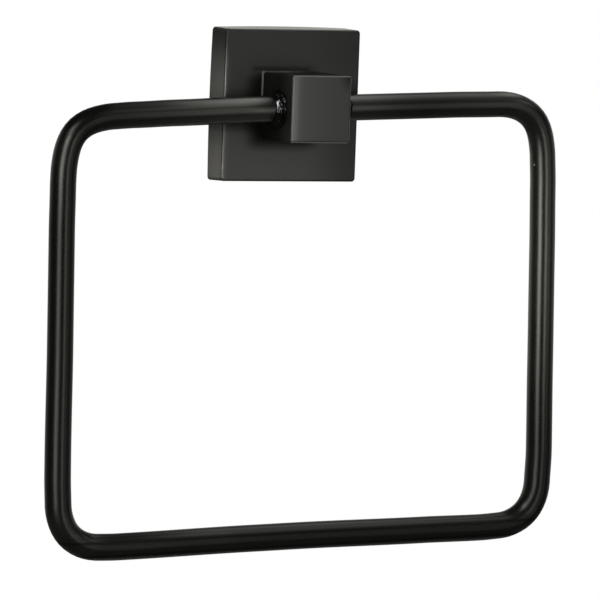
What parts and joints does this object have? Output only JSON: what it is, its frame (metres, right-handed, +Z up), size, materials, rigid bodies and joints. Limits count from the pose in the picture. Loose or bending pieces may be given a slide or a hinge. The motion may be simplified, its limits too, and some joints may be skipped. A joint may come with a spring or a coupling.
{
  "type": "towel ring",
  "caption": "Matt black wall towel ring: a round bar bent to a wide rounded oblong, welded into a square post on a square cover plate, with a slotted wall bracket inside.",
  "frame": {"origin": "middle of the cover plate's rear rim, on the wall", "axes": "+X to the right seen from the front, +Y into the wall, +Z up"},
  "size_m": [0.1913, 0.0302, 0.1735],
  "materials": {
    "black_coat": "satin",
    "weld_metal": "gloss",
    "bracket_steel": "satin",
    "screw_steel": "satin",
    "grub_steel": "satin"
  },
  "bodies": {
    "root": {"cover_plate": "black_coat", "post": "black_coat", "ring": "black_coat", "weld_left": "weld_metal", "weld_right": "weld_metal", "wall_bracket": "bracket_steel", "post_screw": "screw_steel", "post_washer": "screw_steel", "grub_screw": "grub_steel"}
  },
  "joints": []
}
